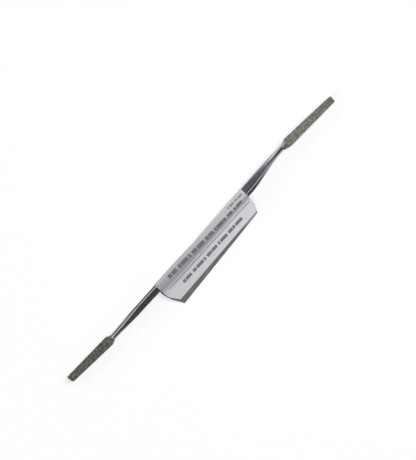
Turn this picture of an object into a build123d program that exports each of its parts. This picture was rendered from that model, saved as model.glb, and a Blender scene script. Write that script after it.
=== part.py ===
from build123d import *
from collections import namedtuple
import math
import os

# A double-ended riffler file: a square steel handle that twists slightly and swells towards one end,
# drawn down to a round neck at each end, with a flat tapered head on each neck. The heads carry a layer
# of bonded grit. A paper label is wrapped round the handle and closed on itself as a flag.
# Millimetres. X runs along the tool towards the long head, Z is up, and the tool lies on Z = 0, on the
# wrapped handle and the flag's outer edge. The origin is on the floor below the middle of the tool.
overall_length = 152.4

# Short head, at -X
short_head_length = 22.1
short_shoulder_length = 2.2
short_head_width = 4.0
short_head_tip_width = 3.05
short_head_bend = 2.4
short_tip_cut = -8.0
short_trailing_corner = 0.8

# Long head, at +X
long_head_length = 25.0
long_shoulder_length = 3.4
long_head_width = 3.95
long_head_tip_width = 2.85
long_head_bend = 2.9
long_tip_cut = 2.0
long_trailing_corner = 0.4

# Both heads
head_thickness = 1.9
head_tip_thickness = 1.3
leading_corner = 0.4
head_edge_radius = 0.35
grit_thickness = 0.2
grit_on_shoulder = 0.65

# Necks and handle
short_neck_diameter = 2.12
long_neck_diameter = 2.08
short_taper_length = 14.5
long_taper_length = 21.5
short_neck_y = -1.17
long_neck_y = 0.83
joggle_length = 18.0
handle_yaw = 0.0095
handle_side_left = 2.79
handle_side_right = 3.50
arris_radius = 0.25
neck_roundness = 0.49
handle_roll_left = 16.0
handle_roll_right = -22.0

# Paper label
label_left = -25.7
label_right = 25.2
label_end_lean = 0.9
paper_thickness = 0.12
wrap_gap = 0.04
underside_pressed = 0.02
crease_offset_middle = 1.3
underside_flat_from = -10.0
flag_slope = 10.0
flag_root_left_y = -3.95
flag_root_right_y = -3.25
flag_root_overlap = 0.05
rear_edge_left = (-22.9, -12.87)
rear_edge_right = (22.9, -9.6)
rear_side_bend = (-25.8, -7.35)
rear_side_root = (-26.4, -3.95)
front_edge_left = (-22.95, -10.6)
front_edge_right = (23.4, -9.0)
front_side_bend = (-25.7, -6.7)
right_side_bend = (25.2, -5.5)
side_bend_radius = 4.0

# Sections that the lofts pass through
taper_steps = 5
grip_steps = 9

tip_x = overall_length / 2
short_neck_x = -tip_x + short_head_length + short_shoulder_length
long_neck_x = tip_x - long_head_length - long_shoulder_length
middle_left = short_neck_x + short_taper_length
middle_right = long_neck_x - long_taper_length
wrap_left = label_left - 2


def smooth(share):
    """A soft step from 0 to 1, level at both ends."""
    held = min(max(share, 0.0), 1.0)
    return held * held * (3 - 2 * held)


def between(start, end, share):
    return start + (end - start) * share


def stations(start, end, steps):
    return [between(start, end, step / steps) for step in range(steps + 1)]


grip_stations = stations(wrap_left, middle_right, grip_steps)


def label_share(x):
    return (x - label_left) / (label_right - label_left)


def roll_at(x):
    """The square's roll about the handle's axis, in degrees."""
    return between(handle_roll_left, handle_roll_right, smooth(label_share(x)))


def grip_side(x):
    """The side of the square, before it is drawn down."""
    return between(handle_side_left, handle_side_right, label_share(x))


def taper_share(x):
    """0 at either neck, 1 where the square has its full size."""
    from_short = (x - short_neck_x) / short_taper_length
    from_long = (long_neck_x - x) / long_taper_length
    return max(min(from_short, from_long, 1.0), 0.0)


def side_at(x):
    neck = short_neck_diameter if x < 0 else long_neck_diameter
    return between(neck, grip_side(x), smooth(taper_share(x)))


def corner_at(x):
    """The section's corner radius: nearly half the side at a neck, a small arris on the square."""
    squareness = 1 - (1 - taper_share(x)) ** 2
    return between(neck_roundness * side_at(x), arris_radius, squareness)


def axis_y(x):
    straight_end = short_neck_y + handle_yaw * (long_neck_x - short_neck_x)
    joggle = smooth((x - long_neck_x + long_taper_length) / joggle_length)
    return short_neck_y + handle_yaw * (x - short_neck_x) + (long_neck_y - straight_end) * joggle


def resting_height(x):
    """The height of the axis where the square's lowest corner lies on the paper."""
    reach = (grip_side(x) / 2 - arris_radius) * math.sqrt(2)
    depth = reach * math.cos(math.radians(45 - abs(roll_at(x)))) + arris_radius
    return depth + wrap_gap + paper_thickness - underside_pressed


def axis_z(x):
    return between(resting_height(label_left), resting_height(label_right), label_share(x))


def section_plane(x):
    """The plane across the handle at x, with Y and Z as its own axes."""
    return Plane(origin=(x, axis_y(x), axis_z(x)), x_dir=(0, 1, 0), z_dir=(1, 0, 0))


# A head: outward is -1 or 1 along X, and a cut angle puts the corner on the head's own +Y side further out
Head = namedtuple("Head", "outward neck_x neck shoulder length width tip_width bend cut trailing_corner")
short_head = Head(
    outward=-1,
    neck_x=short_neck_x,
    neck=short_neck_diameter,
    shoulder=short_shoulder_length,
    length=short_head_length,
    width=short_head_width,
    tip_width=short_head_tip_width,
    bend=short_head_bend,
    cut=short_tip_cut,
    trailing_corner=short_trailing_corner,
)
long_head = Head(
    outward=1,
    neck_x=long_neck_x,
    neck=long_neck_diameter,
    shoulder=long_shoulder_length,
    length=long_head_length,
    width=long_head_width,
    tip_width=long_head_tip_width,
    bend=long_head_bend,
    cut=long_tip_cut,
    trailing_corner=long_trailing_corner,
)


def head_plane(head, along):
    """The head's own plane, level, with its X outward, at a distance along from the neck."""
    turn = math.radians(head.bend)
    x_dir = Vector(head.outward * math.cos(turn), -head.outward * math.sin(turn), 0)
    neck = Vector(head.neck_x, axis_y(head.neck_x), axis_z(head.neck_x))
    return Plane(origin=neck + x_dir * along, x_dir=x_dir, z_dir=(0, 0, 1))


def head_solid(head, inset):
    """The flat head beyond its shoulder, tapered in width and thickness, drawn smaller by inset."""
    plane = head_plane(head, head.shoulder)
    upright = Plane(origin=plane.origin, x_dir=plane.x_dir, z_dir=-plane.y_dir)
    wide = head.width / 2 - inset
    tip_wide = head.tip_width / 2 - inset
    thick = head_thickness / 2 - inset
    tip_thick = head_tip_thickness / 2 - inset
    reach = head.length - inset
    lead = 2 * tip_wide * math.tan(math.radians(abs(head.cut)))
    ahead = math.copysign(1, head.cut)
    with BuildPart() as solid:
        with BuildSketch(plane) as outline:
            with BuildLine():
                Polyline(
                    (0, ahead * wide),
                    (reach, ahead * tip_wide),
                    (reach - lead, -ahead * tip_wide),
                    (0, -ahead * wide),
                    close=True,
                )
            make_face()
            fillet(outline.vertices().sort_by_distance((reach, ahead * tip_wide))[0], leading_corner - inset)
            trailing = outline.vertices().sort_by_distance((reach - lead, -ahead * tip_wide))[0]
            fillet(trailing, head.trailing_corner - inset)
        extrude(amount=head_thickness, both=True)
        with BuildSketch(upright):
            with BuildLine():
                Polyline((0, thick), (reach, tip_thick), (reach, -tip_thick), (0, -thick), close=True)
            make_face()
        extrude(amount=head.width, both=True, mode=Mode.INTERSECT)
        broad_faces = solid.faces().sort_by(Axis.Z)
        top_rim = broad_faces[-1].edges().sort_by_distance(plane.origin)[1:]
        bottom_rim = broad_faces[0].edges().sort_by_distance(plane.origin)[1:]
        fillet(top_rim + bottom_rim, head_edge_radius - inset)
    return solid.part


def shoulder_solid(head, inset, share):
    """The shoulder between the round neck and the head, cut off at a share of its length from the head."""
    plane = head_plane(head, head.shoulder)
    across = Plane(origin=plane.origin, x_dir=plane.y_dir * head.outward, z_dir=plane.x_dir * head.outward)
    neck = head.neck + 2 * (grit_thickness - inset)
    cut = head_plane(head, head.shoulder * (1 - share))
    with BuildPart() as solid:
        with BuildSketch(section_plane(head.neck_x)):
            RectangleRounded(neck, neck, neck_roundness * neck, rotation=roll_at(head.neck_x))
        with BuildSketch(across):
            RectangleRounded(
                head.width - 2 * inset,
                head_thickness - 2 * inset,
                head_edge_radius - inset,
            )
        loft(ruled=True)
        if share < 1:
            split(bisect_by=Plane(origin=cut.origin, x_dir=cut.y_dir, z_dir=cut.x_dir), keep=Keep.TOP)
    return solid.part


short_core = head_solid(short_head, grit_thickness) + shoulder_solid(short_head, grit_thickness, 1)
long_core = head_solid(long_head, grit_thickness) + shoulder_solid(long_head, grit_thickness, 1)

with BuildPart() as steel_body:
    left_taper = stations(short_neck_x, middle_left, taper_steps)
    right_taper = stations(middle_right, long_neck_x, taper_steps)
    for x in left_taper + grip_stations + right_taper[1:]:
        with BuildSketch(section_plane(x)):
            RectangleRounded(side_at(x), side_at(x), corner_at(x), rotation=roll_at(x))
    loft(ruled=True)
    add(short_core)
    add(long_core)

with BuildPart() as short_head_grit:
    add(head_solid(short_head, 0))
    add(shoulder_solid(short_head, 0, grit_on_shoulder))
    add(steel_body.part, mode=Mode.SUBTRACT)

with BuildPart() as long_head_grit:
    add(head_solid(long_head, 0))
    add(shoulder_solid(long_head, 0, grit_on_shoulder))
    add(steel_body.part, mode=Mode.SUBTRACT)


def square_corner(x, quarter):
    """A corner of the handle's square, from its axis: 0 is the far top one, counted anticlockwise."""
    angle = math.radians(roll_at(x) + 45 + 90 * quarter)
    reach = grip_side(x) / math.sqrt(2)
    return (reach * math.cos(angle), reach * math.sin(angle))


flag_turn = math.atan2(rear_edge_right[1] - rear_edge_left[1], rear_edge_right[0] - rear_edge_left[0])
flag_tilt = math.radians(flag_slope)
flag_plane = Plane(
    origin=(*rear_edge_left, 0),
    x_dir=(math.cos(flag_turn), math.sin(flag_turn), 0),
    z_dir=(
        math.sin(flag_turn) * math.sin(flag_tilt),
        -math.cos(flag_turn) * math.sin(flag_tilt),
        math.cos(flag_tilt),
    ),
)


def flag_root(x):
    """Where the flag's two plies part, from the handle's axis: on the plane between them."""
    y = between(flag_root_left_y, flag_root_right_y, label_share(x))
    run_x = x - rear_edge_left[0]
    run_y = y - rear_edge_left[1]
    from_edge = run_y * math.cos(flag_turn) - run_x * math.sin(flag_turn)
    height = from_edge * math.tan(flag_tilt) + paper_thickness / math.cos(flag_tilt)
    return (y - axis_y(x), height - axis_z(x))


def wrap_corners(x):
    """The corners of the paper tube's inside: two on the square, the flag's root and two underneath."""
    floor = paper_thickness + wrap_gap - underside_pressed - axis_z(x)
    near_low = square_corner(x, 2)
    far_low = square_corner(x, 3)
    settled = smooth((x - label_left) / (underside_flat_from - label_left))
    crease_y = between(near_low[0], -crease_offset_middle, settled)
    crease = (crease_y, between(near_low[1], floor, settled))
    far_drop = (far_low[1] - floor) * settled
    far_lean = max(math.tan(math.radians(roll_at(x))), 0)
    far = (far_low[0] + far_drop * far_lean, far_low[1] - far_drop)
    return [square_corner(x, 0), square_corner(x, 1), flag_root(x), crease, far]


def wrap_solid(grow):
    """The tube of paper, or its inside, drawn larger all round by grow and longer than the label."""
    with BuildPart() as solid:
        for x in grip_stations:
            with BuildSketch(section_plane(x)) as section:
                with BuildLine():
                    Polyline(*wrap_corners(x), close=True)
                make_face()
                offset(amount=grow, kind=Kind.INTERSECTION, mode=Mode.REPLACE)
                fillet(section.vertices(), arris_radius + grow)
        loft(ruled=True)
    return solid.part


def ply(outline, bends, level):
    """One ply of the flag: its outline seen from above, the corners to round, and its level in the flag."""
    with BuildPart() as solid:
        with BuildSketch(Plane.XY.offset(-1)) as sheet:
            with BuildLine():
                Polyline(*outline, close=True)
            make_face()
            for bend in bends:
                fillet(sheet.vertices().sort_by_distance(bend)[0], side_bend_radius)
        extrude(amount=5)
        with BuildSketch(flag_plane.offset(level)):
            Rectangle(overall_length, overall_length)
        extrude(amount=paper_thickness, mode=Mode.INTERSECT)
    return solid.part


root_left = (label_left, flag_root_left_y + flag_root_overlap)
root_right = (label_right, flag_root_right_y + flag_root_overlap)
rear_root = (rear_side_root[0], rear_side_root[1] + flag_root_overlap)
rear_outline = [rear_root, rear_side_bend, rear_edge_left, rear_edge_right, right_side_bend, root_right]
front_outline = [root_left, front_side_bend, front_edge_left, front_edge_right, right_side_bend, root_right]
rear_ply = ply(rear_outline, [rear_side_bend, right_side_bend], 0)
front_ply = ply(front_outline, [front_side_bend, right_side_bend], paper_thickness)
wrap_top = axis_z(label_left) + handle_side_left * math.sqrt(0.5)
wrap_outside = wrap_solid(wrap_gap + paper_thickness)
wrap_inside = wrap_solid(wrap_gap)

with BuildPart() as paper_label:
    add(wrap_outside)
    add(wrap_inside, mode=Mode.SUBTRACT)
    left_end = Plane(
        origin=(label_left, 0, wrap_top),
        x_dir=(0, 1, 0),
        z_dir=(wrap_top, 0, -label_end_lean),
    )
    split(bisect_by=left_end, keep=Keep.TOP)
    split(bisect_by=Plane.YZ.offset(label_right), keep=Keep.BOTTOM)
    split(bisect_by=Plane.XY, keep=Keep.TOP)
    add(rear_ply)
    add(front_ply)

steel_body.part.label = "steel_body"
long_head_grit.part.label = "long_head_grit"
short_head_grit.part.label = "short_head_grit"
paper_label.part.label = "paper_label"

os.makedirs("parts", exist_ok=True)
export_step(steel_body.part, "parts/steel_body.step")
export_step(long_head_grit.part, "parts/long_head_grit.step")
export_step(short_head_grit.part, "parts/short_head_grit.step")
export_step(paper_label.part, "parts/paper_label.step")
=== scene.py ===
import math
import random

import bpy
import numpy as np
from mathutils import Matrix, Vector


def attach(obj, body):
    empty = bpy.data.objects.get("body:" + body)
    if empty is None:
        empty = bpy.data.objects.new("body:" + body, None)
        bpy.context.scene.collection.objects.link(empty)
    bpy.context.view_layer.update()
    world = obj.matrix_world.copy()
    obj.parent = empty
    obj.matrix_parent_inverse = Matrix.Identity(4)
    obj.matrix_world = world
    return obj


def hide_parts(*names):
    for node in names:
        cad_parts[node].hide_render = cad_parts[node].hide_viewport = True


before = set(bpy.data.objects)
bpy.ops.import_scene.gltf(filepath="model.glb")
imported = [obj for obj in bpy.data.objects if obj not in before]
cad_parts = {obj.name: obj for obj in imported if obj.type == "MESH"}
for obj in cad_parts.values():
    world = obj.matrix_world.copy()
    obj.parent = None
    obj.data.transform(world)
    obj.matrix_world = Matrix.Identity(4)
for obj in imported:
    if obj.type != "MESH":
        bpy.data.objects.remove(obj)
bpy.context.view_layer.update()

# Lengths below are in millimetres, in the CAD's frame, and become metres when a mesh is made.
MM = 0.001

# The handle's section along the tool: a square that rolls, swells and is drawn down to round necks.
# Of a pair of values, the first is for the -X end and the second for the +X end.
NECK_X = (-51.9, 47.8)
NECK_DIAMETER = (2.12, 2.08)
TAPER_LENGTH = (14.5, 21.5)
NECK_Y = (-1.17, 0.83)
JOGGLE_LENGTH = 18.0
HANDLE_YAW = 0.0095
HANDLE_SIDE = (2.79, 3.50)
HANDLE_ROLL = (16.0, -22.0)
NECK_TWIST = (8.0, -9.0)
NECK_TWIST_FROM = (-34.0, 36.0)
NECK_TWIST_LENGTH = (12.0, 10.0)
ARRIS = 0.25
NECK_ROUNDNESS = 0.49

# The paper label, wrapped round the handle and closed on itself as a flag of two plies.
LABEL_X = (-25.7, 25.2)
PAPER = 0.12
WRAP_GAP = 0.04
PRESSED = 0.02
CREASE_OFFSET = 1.3
FLAT_FROM = -10.0
FLAG_SLOPE = math.radians(10.0)
ROOT_Y = (-3.95, -3.25)
REAR_EDGE = ((-22.9, -12.87), (22.9, -9.6))
FRONT_EDGE = ((-22.95, -10.6), (23.4, -8.82))


def smooth(share):
    """A soft step from 0 to 1, level at both ends."""
    held = min(max(share, 0.0), 1.0)
    return held * held * (3 - 2 * held)


def between(pair, share):
    return pair[0] + (pair[1] - pair[0]) * share


def make_mesh(name, points, faces):
    mesh = bpy.data.meshes.new(name)
    mesh.from_pydata([tuple(c * MM for c in point) for point in points], [], faces)
    mesh.validate()
    mesh.update()
    piece = bpy.data.objects.new(name, mesh)
    bpy.context.scene.collection.objects.link(piece)
    return piece


# The handle


def label_share(x):
    return (x - LABEL_X[0]) / (LABEL_X[1] - LABEL_X[0])


def roll_at(x):
    """The section's roll about the handle's axis, in radians."""
    short_twist = NECK_TWIST[0] * smooth((NECK_TWIST_FROM[0] - x) / NECK_TWIST_LENGTH[0])
    long_twist = NECK_TWIST[1] * smooth((x - NECK_TWIST_FROM[1]) / NECK_TWIST_LENGTH[1])
    return math.radians(between(HANDLE_ROLL, smooth(label_share(x))) + short_twist + long_twist)


def grip_side(x):
    return between(HANDLE_SIDE, label_share(x))


def taper_share(x):
    """0 at a neck, 1 where the handle has its full size."""
    from_short = (x - NECK_X[0]) / TAPER_LENGTH[0]
    from_long = (NECK_X[1] - x) / TAPER_LENGTH[1]
    return max(min(from_short, from_long, 1.0), 0.0)


def side_at(x):
    neck = NECK_DIAMETER[0] if x < 0 else NECK_DIAMETER[1]
    return between((neck, grip_side(x)), smooth(taper_share(x)))


def corner_at(x):
    """The radius of the section's corners."""
    squareness = 1 - (1 - taper_share(x)) ** 2
    return between((NECK_ROUNDNESS * side_at(x), ARRIS), squareness)


def axis_y(x):
    straight_end = NECK_Y[0] + HANDLE_YAW * (NECK_X[1] - NECK_X[0])
    joggle = smooth((x - NECK_X[1] + TAPER_LENGTH[1]) / JOGGLE_LENGTH)
    return NECK_Y[0] + HANDLE_YAW * (x - NECK_X[0]) + (NECK_Y[1] - straight_end) * joggle


def resting_height(x):
    """The height of the handle's axis where the wrapped handle lies on the floor."""
    reach = (grip_side(x) / 2 - ARRIS) * math.sqrt(2)
    depth = reach * math.cos(math.radians(45) - abs(roll_at(x))) + ARRIS
    return depth + WRAP_GAP + PAPER - PRESSED


AXIS_Z = (resting_height(LABEL_X[0]), resting_height(LABEL_X[1]))


def axis_z(x):
    return between(AXIS_Z, label_share(x))


def square_corner(x, quarter):
    angle = roll_at(x) + math.radians(45 + 90 * quarter)
    reach = grip_side(x) / math.sqrt(2)
    return (axis_y(x) + reach * math.cos(angle), axis_z(x) + reach * math.sin(angle))


# The label's path across the tool. Its points are (y, z) at one x, until label_path adds the x.


def flag_height(x, y):
    """The height of the plane between the flag's two plies."""
    turn = math.atan2(REAR_EDGE[1][1] - REAR_EDGE[0][1], REAR_EDGE[1][0] - REAR_EDGE[0][0])
    from_edge = (y - REAR_EDGE[0][1]) * math.cos(turn) - (x - REAR_EDGE[0][0]) * math.sin(turn)
    return from_edge * math.tan(FLAG_SLOPE) + PAPER / math.cos(FLAG_SLOPE)


def wrap_corners(x):
    """The inside corners of the paper tube: two on the square, the flag's root, two underneath."""
    lowest = PAPER + WRAP_GAP - PRESSED
    near_low = square_corner(x, 2)
    far_low = square_corner(x, 3)
    settled = smooth((x - LABEL_X[0]) / (FLAT_FROM - LABEL_X[0]))
    crease_y = between((near_low[0], axis_y(x) - CREASE_OFFSET), settled)
    crease_z = between((near_low[1], lowest), settled)
    drop = (far_low[1] - lowest) * settled
    far = (far_low[0] + drop * max(math.tan(roll_at(x)), 0), far_low[1] - drop)
    root_y = between(ROOT_Y, label_share(x))
    root = (root_y, flag_height(x, root_y))
    return [square_corner(x, 0), square_corner(x, 1), root, (crease_y, crease_z), far]


def shifted(start, end, grow):
    """The line between two points, moved to the right of its direction by grow: a point and a direction."""
    run = (end[0] - start[0], end[1] - start[1])
    length = math.hypot(*run)
    return (start[0] + run[1] / length * grow, start[1] - run[0] / length * grow), run


def meet(line, other):
    """The point where two lines cross."""
    (start, run), (other_start, other_run) = line, other
    gap = (other_start[0] - start[0], other_start[1] - start[1])
    crossing = run[0] * other_run[1] - run[1] * other_run[0]
    along = (gap[0] * other_run[1] - gap[1] * other_run[0]) / crossing
    return (start[0] + run[0] * along, start[1] + run[1] * along)


def rounded_path(corners, radii, arc_steps, straight_steps):
    """Points along a line of straight stretches with rounded corners, always the same number of them."""
    corners = [np.array(corner, float) for corner in corners]
    bends = []
    for before, corner, after, radius in zip(corners, corners[1:], corners[2:], radii):
        come = (corner - before) / np.linalg.norm(corner - before)
        leave = (after - corner) / np.linalg.norm(after - corner)
        turn = math.acos(max(-1.0, min(1.0, float(come @ leave))))
        setback = radius * math.tan(turn / 2)
        bends.append((corner - come * setback, corner, corner + leave * setback))
    points = []
    start = corners[0]
    for (enter, corner, leave), steps in zip(bends, straight_steps):
        points += [start + (enter - start) * k / steps for k in range(steps)]
        for k in range(arc_steps):
            part = k / arc_steps
            points.append(enter * (1 - part) ** 2 + corner * 2 * part * (1 - part) + leave * part * part)
        start = leave
    last = straight_steps[-1]
    points += [start + (corners[-1] - start) * k / last for k in range(last + 1)]
    return points


# How many points the path's straight stretches and its corners have, and the corners' radii
PLY_STEPS = 18
WALL_STEPS = 4
ARC_STEPS = 6
LABEL_STRAIGHTS = (PLY_STEPS, WALL_STEPS, WALL_STEPS, WALL_STEPS, WALL_STEPS, WALL_STEPS, PLY_STEPS)
LABEL_RADII = (1.1, 0.36, 0.36, 0.36, 0.36, 0.5)


def ply_edge_y(edge, x):
    return between((edge[0][1], edge[1][1]), (x - edge[0][0]) / (edge[1][0] - edge[0][0]))


def label_path(x):
    """The middle of the paper's thickness: up the front ply, over the handle, under it, down the rear ply."""
    grow = WRAP_GAP + PAPER / 2
    far_top, near_top, root, crease, far_low = wrap_corners(x)
    top = shifted(far_top, near_top, grow)
    wall = shifted(near_top, root, grow)
    under = shifted(root, crease, grow)
    base = shifted(crease, far_low, grow)
    far_wall = shifted(far_low, far_top, grow)
    front_y = ply_edge_y(FRONT_EDGE, x)
    rear_y = ply_edge_y(REAR_EDGE, x)
    lift = PAPER / 2 / math.cos(FLAG_SLOPE)
    front_end = (front_y, flag_height(x, front_y) + lift)
    rear_end = (rear_y, flag_height(x, rear_y) - lift)
    along_flag = (root[0] - rear_y, flag_height(x, root[0]) - flag_height(x, rear_y))
    path = [
        front_end,
        meet(wall, (front_end, along_flag)),
        meet(top, wall),
        meet(top, far_wall),
        meet(far_wall, base),
        meet(base, under),
        meet(under, (rear_end, along_flag)),
        rear_end,
    ]
    points = rounded_path(path, LABEL_RADII, ARC_STEPS, LABEL_STRAIGHTS)
    return [(x, y, max(z, PAPER / 2)) for y, z in points]


# The label's side edges. On the flag each turns in past its bend, by its slope for each millimetre of Y.
SIDE_SOFTNESS = 0.9
RIGHT_SIDE = {"bend_y": -5.5, "slope": 0.53}
FRONT_LEFT = {"bend_y": -6.7, "slope": 0.705}
REAR_LEFT = {"bend_y": -7.35, "slope": 0.35}
REAR_LEFT_ROOT = (-26.4, -3.95)
REAR_LEFT_LEAN = 0.1765
WRAP_LEAN = 0.7

# The paper's mesh: columns along the tool, and how often an edge's X and the path's Y there are refined.
LABEL_COLUMNS = 110
SIDE_PASSES = 6


def turned_in(side, y):
    """How far a side edge has turned in at y, with a soft bend."""
    past_bend = side["bend_y"] - y
    return side["slope"] * (past_bend + math.hypot(past_bend, SIDE_SOFTNESS)) / 2


def label_side(index, count, y):
    """Where the paper's left and right edges are, for a point of its path."""
    right = LABEL_X[1] - turned_in(RIGHT_SIDE, y)
    front_count = PLY_STEPS + ARC_STEPS
    rear_start = count - PLY_STEPS - ARC_STEPS
    if index < front_count:
        return LABEL_X[0] + turned_in(FRONT_LEFT, y), right
    if index >= rear_start:
        lean = REAR_LEFT_LEAN * max(REAR_LEFT_ROOT[1] - y, 0)
        return REAR_LEFT_ROOT[0] + lean + turned_in(REAR_LEFT, y), right
    turned = max(0.0, (index - 2 * front_count) / (rear_start - 2 * front_count))
    return LABEL_X[0] - WRAP_LEAN * turned, LABEL_X[1]


def paper_distances(grid):
    """Along the tool, and along the paper across it, counted so that the front ply's own part follows Y."""
    steps = np.linalg.norm(np.diff(grid[:, :, 1:], axis=1), axis=2)
    walked = np.concatenate([np.zeros((len(grid), 1)), np.cumsum(steps, axis=1)], axis=1)
    start = grid[:, :1, 1] / math.cos(FLAG_SLOPE)
    return np.stack([grid[:, :, 0], start + walked], axis=2)


def label_grid():
    """The middle of the paper: columns from left to right. X is rounded so that each path is made once."""
    count = len(label_path(0))
    sides = []
    for index in range(count):
        pair = []
        for side, start in enumerate(LABEL_X):
            x = start
            for _ in range(SIDE_PASSES):
                x = label_side(index, count, label_path(x)[index][1])[side]
            pair.append(x)
        sides.append(pair)
    paths = {}
    grid = np.zeros((LABEL_COLUMNS + 1, count, 3))
    for column in range(LABEL_COLUMNS + 1):
        share = column / LABEL_COLUMNS
        for index in range(count):
            x = round(between(sides[index], share), 3)
            if x not in paths:
                paths[x] = label_path(x)
            grid[column, index] = paths[x][index]
    return grid


def surface_normals(grid):
    along = np.gradient(grid, axis=0)
    across = np.gradient(grid, axis=1)
    normals = np.cross(across, along)
    return normals / np.linalg.norm(normals, axis=2, keepdims=True)


def sheet_mesh(name, grid, thickness):
    """A sheet of even thickness round a grid of points, closed along its edges, with a UV map."""
    offset = surface_normals(grid) * thickness / 2
    columns, count, _ = grid.shape
    points = np.concatenate([(grid + offset).reshape(-1, 3), (grid - offset).reshape(-1, 3)])
    below = columns * count
    faces = []
    inner = []
    for column in range(columns - 1):
        for k in range(count - 1):
            here = column * count + k
            beside = here + count
            inner.append(len(faces))
            faces.append((here, here + 1, beside + 1, beside))
            faces.append((below + here, below + beside, below + beside + 1, below + here + 1))
    for column in range(columns - 1):
        for k, flip in ((0, False), (count - 1, True)):
            here = column * count + k
            beside = here + count
            rim = (here, beside, below + beside, below + here)
            faces.append(rim[::-1] if flip else rim)
    for k in range(count - 1):
        for column, flip in ((0, True), (columns - 1, False)):
            here = column * count + k
            rim = (here, here + 1, below + here + 1, below + here)
            faces.append(rim[::-1] if flip else rim)
    piece = make_mesh(name, points.tolist(), faces)
    for number in inner:
        piece.data.polygons[number].material_index = 1
    flat = paper_distances(grid).reshape(-1, 2)
    places = piece.data.uv_layers.new(name="paper").data
    for loop in piece.data.loops:
        places[loop.index].uv = flat[loop.vertex_index % below]
    return piece


# The steel bar and the grit on its heads, as rings of points along the tool


def ring_mesh(name, rings):
    """A closed skin through rings of points, with both ends filled."""
    count = len(rings[0])
    points = [point for ring in rings for point in ring]
    faces = []
    for number in range(len(rings) - 1):
        for k in range(count):
            here = number * count + k
            following = number * count + (k + 1) % count
            faces.append((here, following, following + count, here + count))
    faces.append(tuple(range(count))[::-1])
    last = (len(rings) - 1) * count
    faces.append(tuple(range(last, last + count)))
    return make_mesh(name, points, faces)


def rounded_rectangle(low, high, half_height, radius, arc_steps, flat_steps):
    """Points (across, up) round a rectangle with rounded corners, anticlockwise from its high side."""
    corners = ((high, half_height), (low, half_height), (low, -half_height), (high, -half_height))
    centres = [(a - math.copysign(radius, a), u - math.copysign(radius, u)) for a, u in corners]

    def on_arc(number, degrees):
        centre = centres[number % 4]
        angle = math.radians(90 * number + degrees)
        return (centre[0] + radius * math.cos(angle), centre[1] + radius * math.sin(angle))

    points = []
    for number in range(4):
        points += [on_arc(number, 90 * k / arc_steps) for k in range(arc_steps + 1)]
        here = points[-1]
        goal = on_arc(number + 1, 0)
        flats = flat_steps[number % 2]
        points += [tuple(between(pair, k / flats) for pair in zip(here, goal)) for k in range(1, flats)]
    return points


def rolled(ring, roll):
    """A ring's points (across, up), turned about the middle."""
    cos, sin = math.cos(roll), math.sin(roll)
    return [(across * cos - up * sin, across * sin + up * cos) for across, up in ring]


# The heads, each drawn outward from its neck, with across towards +Y. Width is at the shoulder and the tip,
# bend is in degrees, corners are the tip's radii, lead is how far the tip's cut leans, and border and slant
# say where the grit ends on the shoulder.
HEADS = {
    "short": {
        "outward": -1, "neck_x": NECK_X[0], "neck": NECK_DIAMETER[0], "shoulder": 2.2, "length": 22.1,
        "width": (4.0, 3.05), "bend": 2.4, "lead": 0.43, "corners": (0.8, 0.4), "seed": 3,
        "border": 0.3, "slant": 0.7,
    },
    "long": {
        "outward": 1, "neck_x": NECK_X[1], "neck": NECK_DIAMETER[1], "shoulder": 3.4, "length": 25.0,
        "width": (3.95, 2.85), "bend": 2.9, "lead": 0.1, "corners": (0.4, 0.4), "seed": 8,
        "border": 0.9, "slant": 1.6,
    },
}
HEAD_THICKNESS = (1.9, 1.3)
EDGE_RADIUS = 0.35
FULLEST_EDGE = 0.95
TIP_ROUNDING = 0.9
LEAD_REACH = 6.0
GRIT = 0.2
GRIT_ON_SHOULDER = 0.65
GRAIN = 0.12
HEAD_ARC = 4
HEAD_FLATS = (28, 10)
TIP_RINGS = (0.93, 0.84, 0.72, 0.58, 0.42, 0.25, 0.1)
BORDER_RINGS = 75
BORDER_RAGS = 0.16
BORDER_EARLY = 0.6
BORDER_HALF_WIDTH = 1.6
BORDER_SEED = 50


def head_point(head, along, across, up):
    """A point of the tool from its place on a head: outward from the neck, across and up."""
    turn = math.radians(head["bend"])
    out = (head["outward"] * math.cos(turn), -head["outward"] * math.sin(turn))
    side = (math.sin(turn), math.cos(turn))
    return (
        head["neck_x"] + out[0] * along + side[0] * across,
        axis_y(head["neck_x"]) + out[1] * along + side[1] * across,
        axis_z(head["neck_x"]) + up,
    )


def end_rounding(beyond, radius):
    """How far a rounded end has drawn in, beyond the start of its rounding."""
    inside = min(max(beyond, 0.0), radius)
    return radius - math.sqrt(radius * radius - inside * inside)


def neck_ring(head, inset, arc_steps, flat_steps):
    half = head["neck"] / 2 + GRIT - inset
    ring = rounded_rectangle(-half, half, half, NECK_ROUNDNESS * 2 * half, arc_steps, flat_steps)
    return rolled(ring, roll_at(head["neck_x"]))


def head_ring(head, along, inset, arc_steps=HEAD_ARC, flat_steps=HEAD_FLATS):
    """The head's outline, at a distance outward from the neck and an inset below the grit's surface."""
    beyond = along - head["shoulder"]
    share = max(beyond, 0.0) / head["length"]
    length = head["length"] - inset
    half = between(head["width"], share) / 2 - inset
    height = between(HEAD_THICKNESS, share) / 2 - inset
    low, high = (
        half - end_rounding(beyond - length + corner - inset, corner - inset) for corner in head["corners"]
    )
    radius = EDGE_RADIUS - inset
    height -= end_rounding(beyond - length + radius, radius) * TIP_ROUNDING
    ring = rounded_rectangle(-low, high, height, min(radius, height * FULLEST_EDGE), arc_steps, flat_steps)
    if beyond < 0:
        start = neck_ring(head, inset, arc_steps, flat_steps)
        part = along / head["shoulder"]
        ring = [tuple(between(pair, part) for pair in zip(s, r)) for s, r in zip(start, ring)]
    near_tip = smooth((beyond - length + LEAD_REACH) / LEAD_REACH)
    points = []
    for across, up in ring:
        behind = head["lead"] * (1 - across / half) / 2 * near_tip
        points.append(head_point(head, along - behind, across, up))
    return points


def shrunk(ring, share):
    centre = [sum(c) / len(ring) for c in zip(*ring)]
    return [tuple(between(pair, share) for pair in zip(centre, point)) for point in ring]


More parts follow.
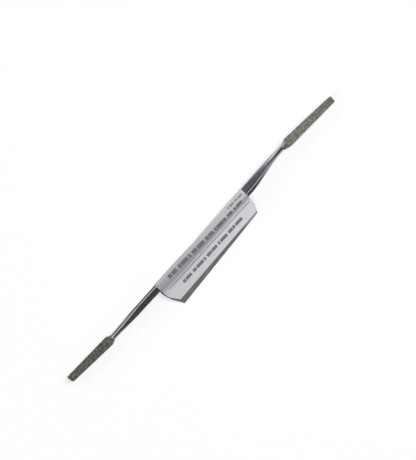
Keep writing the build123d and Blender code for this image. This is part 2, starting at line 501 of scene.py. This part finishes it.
def slanted_border(head, rings):
    """The first rings slid outward, more towards +Y and raggedly, as the grit ends on the shoulder."""
    chance = random.Random(head["seed"] + BORDER_SEED)
    rags = [chance.uniform(-1, 1) for _ in rings[0]]
    slid = []
    for number, ring in enumerate(rings[:BORDER_RINGS]):
        points = []
        for k, point in enumerate(ring):
            across = (point[1] - axis_y(head["neck_x"])) / BORDER_HALF_WIDTH
            across = max(-1.0, min(1.0, across))
            reach = BORDER_EARLY + head["border"] + head["slant"] * across + rags[k] * BORDER_RAGS
            place = number + max(reach, 0.0) / GRAIN * (1 - number / BORDER_RINGS) ** 2
            low = int(place)
            points.append(tuple(between(pair, place - low) for pair in zip(rings[low][k], rings[low + 1][k])))
        slid.append(points)
    return slid + rings[BORDER_RINGS:]


def coat_rings(head):
    """The grit's surface, outward from its border on the shoulder to the middle of the tip."""
    border = head["shoulder"] * (1 - GRIT_ON_SHOULDER) - BORDER_EARLY
    tip = head["shoulder"] + head["length"]
    steps = round((tip - border) / GRAIN)
    rings = [head_ring(head, border + (tip - border) * k / steps, 0.0) for k in range(steps + 1)]
    rings = slanted_border(head, rings)
    rings += [shrunk(rings[-1], share) for share in TIP_RINGS]
    return rings


# The steel's mesh: steps round a corner and along a side, along the bar, and over a shoulder into its head.
BAR_ARC = 6
BAR_FLATS = (5, 5)
BAR_STEP = 0.5
SHOULDER_STEPS = 10
SHOULDER_REACH = 1.4


def bar_ring(x):
    half = side_at(x) / 2
    ring = rolled(rounded_rectangle(-half, half, half, corner_at(x), BAR_ARC, BAR_FLATS), roll_at(x))
    return [(x, axis_y(x) + across, axis_z(x) + up) for across, up in ring]


def bar_rings():
    """The steel from inside one head, through its shoulder and neck, to inside the other."""
    shoulders = {}
    for name, head in HEADS.items():
        reach = head["shoulder"] * SHOULDER_REACH
        along = [reach * k / SHOULDER_STEPS for k in range(1, SHOULDER_STEPS + 1)]
        shoulders[name] = [head_ring(head, a, GRIT, BAR_ARC, BAR_FLATS) for a in along]
    steps = round((NECK_X[1] - NECK_X[0]) / BAR_STEP)
    handle = [bar_ring(between(NECK_X, k / steps)) for k in range(steps + 1)]
    return shoulders["short"][::-1] + handle + shoulders["long"]


# Where the steel is painted bright or dark: painted highlights on arrises, necks and shoulders, and painted
# shade on the side faces and necks' sides, which are also made duller. The painted highlight along each neck,
# -X first, is given by how many degrees it lies from straight up towards +Y, half its spread, and how bright
# it is.
NECK_HIGHLIGHT = {"from_top": (15.0, 24.0), "spread": (19.0, 14.0), "painted_highlight": (1.0, 0.5)}
ARRIS_HIGHLIGHT = {"near": 0.8, "far": 0.25, "beside_far": 1.5}
# The bare steel on each shoulder's +Y half is made bright as a painted highlight.
SHOULDER_HIGHLIGHT = {"short": 0.15, "long": 0.6}
SHORT_SHOULDER_DULL = 0.6
SHOULDER_FADE = 0.8
SQUARE_GAIN = 1.3
SQUARE_START = 0.2


def arris_highlight(x, quarter, place):
    """How bright an arris is painted, as a painted highlight: the far one only on its upper half at -X, and
    little at +X.
    """
    if quarter == 0 and x < 0:
        if place == BAR_ARC:
            return ARRIS_HIGHLIGHT["beside_far"] * (1 - taper_share(x))
        return float(BAR_ARC / 2 <= place < BAR_ARC)
    if not 0 < place < BAR_ARC:
        return 0.0
    return ARRIS_HIGHLIGHT["far"] if quarter == 0 else ARRIS_HIGHLIGHT["near"]


def neck_highlight(x, point):
    """The painted highlight along a neck, by how the surface faces."""
    middle, spread, painted_highlight = (NECK_HIGHLIGHT[key][int(x > 0)] for key in ("from_top", "spread", "painted_highlight"))
    from_top = math.degrees(math.atan2(point[1] - axis_y(x), point[2] - axis_z(x)))
    return painted_highlight * max(0.0, 1 - abs(from_top - middle) / spread)


def bar_marks(rings):
    """For each point of the bar: how strong its painted highlight is, and how far it is darkened as painted
    shade and made dull, as on the side faces.
    """
    stretch = len(rings[0]) // 4
    painted_highlight, dull_and_shade = [], []
    for ring in rings:
        x = sum(point[0] for point in ring) / len(ring)
        squareness = smooth(SQUARE_GAIN * taper_share(x) - SQUARE_START)
        past_short = smooth((NECK_X[0] - x) / SHOULDER_FADE)
        past_long = smooth((x - NECK_X[1]) / SHOULDER_FADE)
        shoulder_highlight = SHOULDER_HIGHLIGHT["long"] * past_long + SHOULDER_HIGHLIGHT["short"] * past_short
        on_neck = (1 - squareness) * (1 - past_long - past_short)
        for k, point in enumerate(ring):
            quarter, place = divmod(k, stretch)
            side_face = quarter in (1, 3) and place >= BAR_ARC
            neck_side = (quarter == 0 and place < BAR_ARC / 2) or (quarter == 3 and side_face)
            on_arris = squareness * arris_highlight(x, quarter, place)
            on_shoulder = shoulder_highlight * (point[1] > axis_y(x))
            painted_highlight.append(max(on_arris, on_neck * neck_highlight(x, point), on_shoulder))
            # The side faces and the necks' sides are darkened as painted shade; the short shoulder is darker
            # too.
            shaded_neck = (1 - squareness) * neck_side
            dull_and_shade.append(max(squareness * side_face, shaded_neck, SHORT_SHOULDER_DULL * past_short))
    return painted_highlight, dull_and_shade


# Materials. Places in them are in metres in the CAD's frame, and the label's UV map is in millimetres.


class Look:
    """A material, with short ways to add nodes to it."""

    def __init__(self, name, colour=(0.8, 0.8, 0.8), roughness=0.5, metallic=0.0):
        self.material = bpy.data.materials.new(name)
        self.material.use_nodes = True
        self.tree = self.material.node_tree
        self.shader = self.tree.nodes["Principled BSDF"]
        self.set("Base Color", (*colour, 1))
        self.set("Roughness", roughness)
        self.set("Metallic", metallic)

    def put(self, socket, value):
        """Links another node's output to a socket, or sets a plain number or colour on it."""
        if isinstance(value, bpy.types.NodeSocket):
            self.tree.links.new(value, socket)
        else:
            socket.default_value = value

    def set(self, name, value):
        self.put(self.shader.inputs[name], value)

    def node(self, kind, inputs, **settings):
        made = self.tree.nodes.new(f"ShaderNode{kind}")
        for name, value in settings.items():
            setattr(made, name, value)
        for name, value in inputs.items():
            self.put(made.inputs[name], value)
        return made

    def math(self, operation, first, second=0.0):
        return self.node("Math", {0: first, 1: second}, operation=operation).outputs[0]

    def all_of(self, *factors):
        product = factors[0]
        for factor in factors[1:]:
            product = self.math("MULTIPLY", product, factor)
        return product

    def object_place(self, stretch=(1, 1, 1)):
        place = self.node("TexCoord", {}).outputs["Object"]
        return self.node("Mapping", {"Vector": place, "Scale": stretch}).outputs[0]

    def xyz(self, place):
        return self.node("SeparateXYZ", {0: place}).outputs

    def noise(self, place, scale, detail=2.0, rough=0.5):
        inputs = {"Vector": place, "Scale": scale, "Detail": detail, "Roughness": rough}
        return self.node("TexNoise", inputs).outputs[0]

    def stretched_noise(self, stretch, detail, rough=0.5):
        return self.noise(self.object_place(stretch), 1.0, detail, rough)

    def remap(self, value, low, high, new_low=0.0, new_high=1.0):
        inputs = {0: value, 1: low, 2: high, 3: new_low, 4: new_high}
        return self.node("MapRange", inputs).outputs[0]

    def vary(self, noise, least, most):
        """A noise's usual range, 0.3 to 0.7, spread from least to most."""
        return self.remap(noise, 0.3, 0.7, least, most)

    def mix(self, share, first, second, blend="MIX"):
        inputs = {0: share, 1: first, 2: second}
        return self.node("MixRGB", inputs, blend_type=blend).outputs[0]

    def toned(self, colour, tone):
        """A colour made lighter or darker by a tone about 1."""
        grey = self.node("CombineColor", {0: tone, 1: tone, 2: tone}).outputs[0]
        return self.mix(1.0, colour, grey, "MULTIPLY")

    def bump(self, height, distance, strength=1.0):
        inputs = {"Height": height, "Distance": distance, "Strength": strength}
        self.set("Normal", self.node("Bump", inputs).outputs[0])


def rgba(red, green, blue):
    return (red, green, blue, 1)


# How fine each stretched noise is along X, Y and Z, per metre
STEEL_LINES = (40, 3200, 3200)
STEEL_STREAKS = (18, 700, 700)
PAPER_FIBRES = (900, 2300, 2300)
PAPER_CREASES = (90, 1500, 1500)

# The steel's colours: its face; side, a painted shade for the side faces and necks' sides; stain; and the
# colour of the painted highlight on arrises, necks and shoulders.
STEEL = {
    "face": (0.36, 0.363, 0.372),
    "side": (0.062, 0.064, 0.06),
    "stain": (0.2, 0.185, 0.15),
    "painted_highlight": (0.8, 0.8, 0.81),
}
FACE_TINT = (0.7, 0.7, 0.7)
SIDE_TINT = (0.55, 0.55, 0.55)
STREAK_TONE = (0.8, 1.2)
HIGHLIGHT_STREAKING = (0.7, 1.0)
STAINS_PER_METRE = 170.0
STAIN_RANGE = (0.6, 0.72)
STAIN_MOST = 0.35
LINE_ROUGHNESS = (0.13, 0.3)
LINE_DEPTH = 0.000012
HIGHLIGHT_ROUGHNESS = 0.42
SIDE_ROUGHNESS = 0.3


def steel_look():
    """Dark polished tool steel: fine lines along it, painted highlights on arrises, necks and shoulders, side
    faces and necks' sides darkened as painted shade and made duller, faint stains.
    """
    look = Look("polished_steel", metallic=1.0)
    lines = look.stretched_noise(STEEL_LINES, 3.0)
    streaks = look.stretched_noise(STEEL_STREAKS, 2.0)
    stains = look.noise(look.object_place(), STAINS_PER_METRE, 4.0)
    painted_highlight = look.node("Attribute", {}, attribute_name="painted_highlight").outputs["Fac"]
    dull_and_shade = look.node("Attribute", {}, attribute_name="dull_and_shade").outputs["Fac"]
    colour = look.toned(rgba(*STEEL["face"]), look.vary(streaks, *STREAK_TONE))
    # Painted shade: the side faces and the necks' sides are darkened.
    colour = look.mix(dull_and_shade, colour, rgba(*STEEL["side"]))
    colour = look.mix(look.remap(stains, *STAIN_RANGE, 0.0, STAIN_MOST), colour, rgba(*STEEL["stain"]))
    painted_highlight = look.math("MULTIPLY", painted_highlight, look.remap(streaks, 0.3, 0.6, *HIGHLIGHT_STREAKING))
    # Painted highlights: the arrises, the necks and the shoulders' +Y halves are made bright.
    look.set("Base Color", look.mix(painted_highlight, colour, rgba(*STEEL["painted_highlight"])))
    look.set("Specular Tint", look.mix(dull_and_shade, rgba(*FACE_TINT), rgba(*SIDE_TINT)))
    rough_highlight = look.math("MULTIPLY", painted_highlight, HIGHLIGHT_ROUGHNESS)
    rough_side = look.math("MULTIPLY", dull_and_shade, SIDE_ROUGHNESS)
    rougher = look.math("MAXIMUM", rough_highlight, rough_side)
    look.set("Roughness", look.math("ADD", look.vary(lines, *LINE_ROUGHNESS), rougher))
    look.bump(lines, LINE_DEPTH)
    return look.material


# The grit's colour, another that it turns to in patches between two places along X, and its spots: which of
# three draws picks them, above what value, and their colour.
GRIT_COLOURS = {
    "long": {
        "ground": (0.158, 0.151, 0.13), "patch": (0.12, 0.092, 0.06), "patch_x": (66.0, 76.0),
        "spots": (
            (0, 0.94, (0.36, 0.35, 0.31)),
            (1, 0.95, (0.24, 0.18, 0.07)),
            (2, 0.96, (0.15, 0.17, 0.09)),
        ),
    },
    "short": {
        "ground": (0.084, 0.078, 0.063), "patch": (0.11, 0.105, 0.088), "patch_x": (-60.0, -52.0),
        "spots": (
            (0, 0.95, (0.25, 0.24, 0.19)),
            (1, 0.94, (0.2, 0.2, 0.09)),
            (2, 0.96, (0.13, 0.1, 0.05)),
        ),
    },
}

# The grit's noises, by how many there are in a metre, and the range of tone that each gives. The depth is
# in metres.
GRAINS_PER_METRE = 3400.0
GRAIN_TONE = (0.32, 1.78)
FINE_PER_METRE = 5200.0
FINE_TONE = (0.6, 1.4)
BROAD_PER_METRE = 900.0
BROAD_TONE = (0.6, 1.42)
PATCH_RANGE = (0.4, 0.62)
SPOTS_PER_METRE = 900.0
SPOTS_STEP = 130
SPOTS_LEAST = 0.53
GRAIN_DEPTH = 0.00009
GRAIN_BUMP = 0.9
FINE_BUMP = 0.5


def grit_look(name, ground, patch, patch_x, spots):
    """Bonded grit: fine grains of mixed colour, turning to another colour in patches along X, with spots."""
    look = Look(name, roughness=0.8)
    place = look.object_place()
    grains = look.node("TexVoronoi", {"Vector": place, "Scale": GRAINS_PER_METRE})
    chance = look.node("SeparateColor", {0: grains.outputs["Color"]}).outputs
    fine = look.noise(place, FINE_PER_METRE, 2.0)
    broad = look.noise(place, BROAD_PER_METRE, 3.0)
    grain_tone = look.remap(chance[0], 0.0, 1.0, *GRAIN_TONE)
    tone = look.all_of(grain_tone, look.vary(fine, *FINE_TONE), look.vary(broad, *BROAD_TONE))
    colour = look.toned(rgba(*ground), tone)
    zone = look.remap(look.xyz(place)[0], patch_x[0] * MM, patch_x[1] * MM)
    colour = look.mix(look.all_of(zone, look.remap(broad, *PATCH_RANGE)), colour, rgba(*patch))
    for channel, least, spot in spots:
        rare = look.math("GREATER_THAN", chance[channel], least)
        clusters = look.noise(place, SPOTS_PER_METRE + SPOTS_STEP * channel, 2.0)
        gathered = look.math("GREATER_THAN", clusters, SPOTS_LEAST)
        colour = look.mix(look.all_of(rare, gathered), colour, rgba(*spot))
    look.set("Base Color", colour)
    domes = look.math("SUBTRACT", 1.0, grains.outputs["Distance"])
    look.bump(look.math("ADD", look.math("MULTIPLY", fine, FINE_BUMP), domes), GRAIN_DEPTH, GRAIN_BUMP)
    return look.material


# Print on the label, in millimetres: rows of plain bars, each from a start to an end along X, and a rule.
# The centres and heights are measured across the paper, and the lean is what a row drifts along X.
ROWS = (
    {
        "centre": -0.55, "height": 1.65, "ink": (0.14, 0.14, 0.145),
        "bars": (
            (-19.8, -18.2), (-17.9, -15.2), (-14.3, -12.9), (-12.6, -8.8), (-8.5, -7.4), (-6.6, -3.9),
            (-3.6, 0.2), (1.1, 2.6), (2.9, 5.4), (6.3, 7.2), (7.5, 10.9), (11.2, 12.6), (13.5, 16.4),
            (17.3, 18.4), (18.7, 22.0),
        ),
    },
    {
        "centre": 1.75, "height": 0.95, "ink": (0.24, 0.24, 0.25),
        "bars": ((15.7, 16.6), (16.9, 19.3), (20.0, 21.4), (21.7, 23.9)),
    },
    {
        "centre": -6.7, "height": 1.25, "ink": (0.16, 0.16, 0.165),
        "bars": (
            (-17.2, -15.9), (-15.6, -12.4), (-11.5, -9.6), (-9.3, -5.5), (-5.2, -4.2), (-3.3, -0.8),
            (-0.5, 2.4), (3.3, 4.3), (4.6, 8.3), (9.2, 11.5), (11.8, 13.0), (13.3, 17.1),
        ),
    },
)
RULE = {"centre": -4.45, "height": 0.34, "ink": (0.2, 0.2, 0.21), "span": (-23.2, 24.0)}
ROW_LEAN = 0.0102

# Where the paper is darkened as painted shade over the handle and in the valley beside it, with painted light
# and shade of creases there: its place across the paper at the label's left and right ends.
WRAP_SHADE = {"from": (-6.2, -4.6), "to": (-2.6, -2.6), "tone": 0.8}
VALLEY_SHADE = {"centre": (-1.7, -1.7), "reach": (3.0, 2.0), "tone": 0.74}
CREASE_RANGE = (0.35, 0.65)
CREASE_SHADING = (1.05, 0.93)
CREASE_BUMP = 2.0

PAPER_COLOUR = (0.585, 0.585, 0.597)
FIBRE_TONE = (0.95, 1.04)
CLOUDS_PER_METRE = 90.0
CLOUD_TONE = (0.975, 1.02)
# Painted light: the paper is made darker towards -X and lighter towards +X, between these places along X.
LIGHT_FALLOFF_X = (-25.0, 25.0)
LIGHT_FALLOFF_TONE = (0.91, 1.07)
PAPER_DEPTH = 0.00002
PAPER_BUMP = 0.7
# The inner side is darkened to olive-grey as painted shade, so the rear ply's visible band looks shaded, less
# so towards the right end.
BACKING_SHADE_COLOUR = (0.125, 0.125, 0.113)
BACKING_SHADE_RIGHT_COLOUR = (0.3, 0.3, 0.29)
BACKING_SHADE_RIGHT_X = (13.0, 24.0)
BACKING_PATCHES_PER_METRE = 300.0
BACKING_PATCH_TONE = (0.85, 1.15)


def band(look, value, centre, height):
    """1 where value lies within a band about centre."""
    off = look.math("ABSOLUTE", look.math("SUBTRACT", value, centre))
    return look.math("LESS_THAN", off, height / 2)


def bar_mask(look, along, bars):
    """1 along the bars of a row, by a stepped ramp over the label's length."""
    start, end = LABEL_X
    ramp = look.node("ValToRGB", {0: look.remap(along, start, end)})
    ramp.color_ramp.interpolation = "CONSTANT"
    marks = ramp.color_ramp.elements
    marks.remove(marks[1])
    marks[0].position = 0.0
    marks[0].color = (0, 0, 0, 1)
    for begin, finish in bars:
        marks.new((begin - start) / (end - start)).color = (1, 1, 1, 1)
        marks.new((finish - start) / (end - start)).color = (0, 0, 0, 1)
    return ramp.outputs[0]


def painted_shade_tone(look, along, across, creases):
    """Painted shade where the paper goes over the handle, darkest in the valley beside it, with painted light
    and shade of creases over the handle.
    """

    def at(pair):
        return look.remap(along, LABEL_X[0], LABEL_X[1], pair[0], pair[1])

    wrap = look.remap(across, at(WRAP_SHADE["from"]), at(WRAP_SHADE["to"]))
    off = look.math("ABSOLUTE", look.math("SUBTRACT", across, at(VALLEY_SHADE["centre"])))
    reach = at(VALLEY_SHADE["reach"])
    valley = look.node("MapRange", {0: off, 1: reach, 2: 0.0}, interpolation_type="SMOOTHSTEP").outputs[0]
    wrap_tone = look.remap(wrap, 0.0, 1.0, 1.0, WRAP_SHADE["tone"])
    valley_tone = look.remap(valley, 0.0, 1.0, 1.0, VALLEY_SHADE["tone"])
    creased = look.math("MULTIPLY", wrap, look.remap(creases, *CREASE_RANGE))
    crease_shading = look.remap(creased, 0.0, 1.0, *CREASE_SHADING)
    return look.all_of(wrap_tone, valley_tone, crease_shading)


def paper_look():
    """The paper's outer side: fibres, painted light that grows towards +X, painted shade over the handle, and
    print.
    """
    look = Look("label_paper", roughness=0.75)
    place = look.object_place()
    fibres = look.stretched_noise(PAPER_FIBRES, 4.0, 0.6)
    creases = look.stretched_noise(PAPER_CREASES, 3.0)
    clouds = look.noise(place, CLOUDS_PER_METRE, 2.0)
    along, across, _ = look.xyz(look.node("UVMap", {}, uv_map="paper").outputs[0])
    across = look.math("SUBTRACT", across, look.math("MULTIPLY", along, ROW_LEAN))
    # The tone holds painted light that grows towards +X and painted shade over the handle.
    tone = look.all_of(
        look.vary(fibres, *FIBRE_TONE),
        look.vary(clouds, *CLOUD_TONE),
        look.remap(look.xyz(place)[0], LIGHT_FALLOFF_X[0] * MM, LIGHT_FALLOFF_X[1] * MM, *LIGHT_FALLOFF_TONE),
        painted_shade_tone(look, along, across, creases),
    )
    colour = look.toned(rgba(*PAPER_COLOUR), tone)
    for row in ROWS:
        in_row = band(look, across, row["centre"], row["height"])
        mask = look.all_of(in_row, bar_mask(look, along, row["bars"]))
        colour = look.mix(mask, colour, rgba(*row["ink"]))
    start, end = RULE["span"]
    on_rule = band(look, across, RULE["centre"], RULE["height"])
    line = look.all_of(on_rule, band(look, along, (start + end) / 2, end - start))
    look.set("Base Color", look.mix(line, colour, rgba(*RULE["ink"])))
    relief = look.math("ADD", fibres, look.math("MULTIPLY", creases, CREASE_BUMP))
    look.bump(relief, PAPER_DEPTH, PAPER_BUMP)
    return look.material


def backing_shade_look():
    """The paper's inner side, darkened to olive-grey as painted shade, less towards the right end, in patches
    of tone at random.
    """
    look = Look("label_inner_side", roughness=0.6)
    place = look.object_place()
    patches = look.noise(place, BACKING_PATCHES_PER_METRE, 3.0)
    paler = look.remap(look.xyz(place)[0], BACKING_SHADE_RIGHT_X[0] * MM, BACKING_SHADE_RIGHT_X[1] * MM)
    colour = look.mix(paler, rgba(*BACKING_SHADE_COLOUR), rgba(*BACKING_SHADE_RIGHT_COLOUR))
    look.set("Base Color", look.toned(colour, look.vary(patches, *BACKING_PATCH_TONE)))
    return look.material


# The pieces

SHARP_FROM = 50
GRAIN_HEIGHT = 0.07
GRAIN_SUNK = 0.35


def dress(piece, look, node, sharp=None):
    """Gives a piece its material and says which CAD node it stands for."""
    piece.data.materials.append(look)
    for face in piece.data.polygons:
        face.use_smooth = True
    if sharp is not None:
        piece.data.set_sharp_from_angle(angle=math.radians(sharp))
    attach(piece, "root")
    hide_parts(node)
    return piece


def raise_grains(coat, seed):
    """Moves each point of a coat in or out by chance, about three in five of them inward."""
    chance = random.Random(seed)
    offsets = []
    for vertex in coat.data.vertices:
        offsets.append(vertex.normal * (chance.random() ** 2 - GRAIN_SUNK) * GRAIN_HEIGHT * MM)
    for vertex, offset in zip(coat.data.vertices, offsets):
        vertex.co += offset


rings = bar_rings()
bar = dress(ring_mesh("steel_bar", rings), steel_look(), "steel_body", SHARP_FROM)
for name, marks in zip(("painted_highlight", "dull_and_shade"), bar_marks(rings)):
    bar.data.attributes.new(name, "FLOAT", "POINT").data.foreach_set("value", marks)

label = sheet_mesh("label_sheet", label_grid(), PAPER)
dress(label, paper_look(), "paper_label", SHARP_FROM)
label.data.materials.append(backing_shade_look())

for name, head in HEADS.items():
    rings = coat_rings(head)
    if head["outward"] < 0:
        rings = rings[::-1]
    coat = ring_mesh(f"{name}_head_coat", rings)
    raise_grains(coat, head["seed"])
    look = grit_look(f"grit_{name}_head", **GRIT_COLOURS[name])
    dress(coat, look, f"{name}_head_grit")

# The floor. Where the camera or a reflection sees it, part of its white comes from a glow.
FLOOR_HALF = 900
FLOOR_WHITE = (0.97, 0.97, 0.97)
FLOOR_GLOW = 0.6

square = ((-1, -1), (1, -1), (1, 1), (-1, 1))
floor = make_mesh("floor", [(x * FLOOR_HALF, y * FLOOR_HALF, 0) for x, y in square], [(0, 1, 2, 3)])
white = Look("floor_white", FLOOR_WHITE, 0.9)
rays = white.node("LightPath", {}).outputs
mirrored = white.math("MAXIMUM", rays["Is Glossy Ray"], rays["Is Transmission Ray"])
seen = white.math("MAXIMUM", rays["Is Camera Ray"], mirrored)
glow = white.node("Emission", {"Color": (1, 1, 1, 1), "Strength": 1.0}).outputs[0]
plain = white.shader.outputs[0]
share = white.math("MULTIPLY", seen, FLOOR_GLOW)
blended = white.node("MixShader", {0: share, 1: plain, 2: glow}).outputs[0]
white.put(white.tree.nodes["Material Output"].inputs["Surface"], blended)
floor.data.materials.append(white.material)

# The studio: dim and bluish overhead and towards -Y, brighter low down. The sky's colours are given by how
# near a direction is to SKY_UP.
SKY_UP = (0, -0.3, 0.954)
SKY = (
    (0.1, (0.62, 0.62, 0.62, 1)),
    (0.5, (0.105, 0.117, 0.155, 1)),
    (0.95, (0.085, 0.09, 0.102, 1)),
)

world = bpy.data.worlds.new("studio")
world.use_nodes = True
nodes, links = world.node_tree.nodes, world.node_tree.links
height = nodes.new("ShaderNodeVectorMath")
height.operation = "DOT_PRODUCT"
height.inputs[1].default_value = SKY_UP
links.new(nodes.new("ShaderNodeTexCoord").outputs["Generated"], height.inputs[0])
sky = nodes.new("ShaderNodeValToRGB")
links.new(height.outputs["Value"], sky.inputs[0])
stops = sky.color_ramp.elements
stops.new(SKY[1][0])
for stop, (place, colour) in zip(stops, SKY):
    stop.position = place
    stop.color = colour
links.new(sky.outputs[0], nodes["Background"].inputs["Color"])
nodes["Background"].inputs["Strength"].default_value = 1.0
bpy.context.scene.world = world

# Lamps, aimed at the frame's origin: place and size in metres, and power in watts.
LAMPS = {
    "key": ((0.62, -0.05, 0.62), (0.4, 0.4), 5.4),
    "fill": ((-0.6, -0.05, 0.6), (0.4, 0.4), 3.2),
    "far_strip": ((0.0, 0.85, 0.40), (1.2, 0.36), 2.0),
    "near_strip": ((0.1, -0.85, 0.40), (1.2, 0.14), 0.6),
}

for name, (place, size, power) in LAMPS.items():
    data = bpy.data.lights.new(name, "AREA")
    data.energy = power
    data.shape = "RECTANGLE"
    data.size, data.size_y = size
    lamp = bpy.data.objects.new(name, data)
    lamp.location = place
    lamp.rotation_mode = "QUATERNION"
    lamp.rotation_quaternion = (-Vector(place)).to_track_quat("-Z", "Y")
    bpy.context.scene.collection.objects.link(lamp)

# The camera looks straight down, turned so that the tool lies as in the photograph. It stands over a place
# in millimetres, at a height in metres.
CAMERA_LENS = 200
SENSOR_WIDTH = 36
CAMERA_TURN = math.radians(-47.11)
CAMERA_OVER = (4.57, 0.14)
CAMERA_HEIGHT = 1.0123

camera = bpy.data.cameras.new("camera")
camera.lens = CAMERA_LENS
camera.sensor_width = SENSOR_WIDTH
eye = bpy.data.objects.new("camera", camera)
eye.location = (CAMERA_OVER[0] * MM, CAMERA_OVER[1] * MM, CAMERA_HEIGHT)
eye.rotation_euler = (0, 0, CAMERA_TURN)
bpy.context.scene.collection.objects.link(eye)
bpy.context.scene.camera = eye
bpy.context.scene.view_settings.view_transform = "Standard"
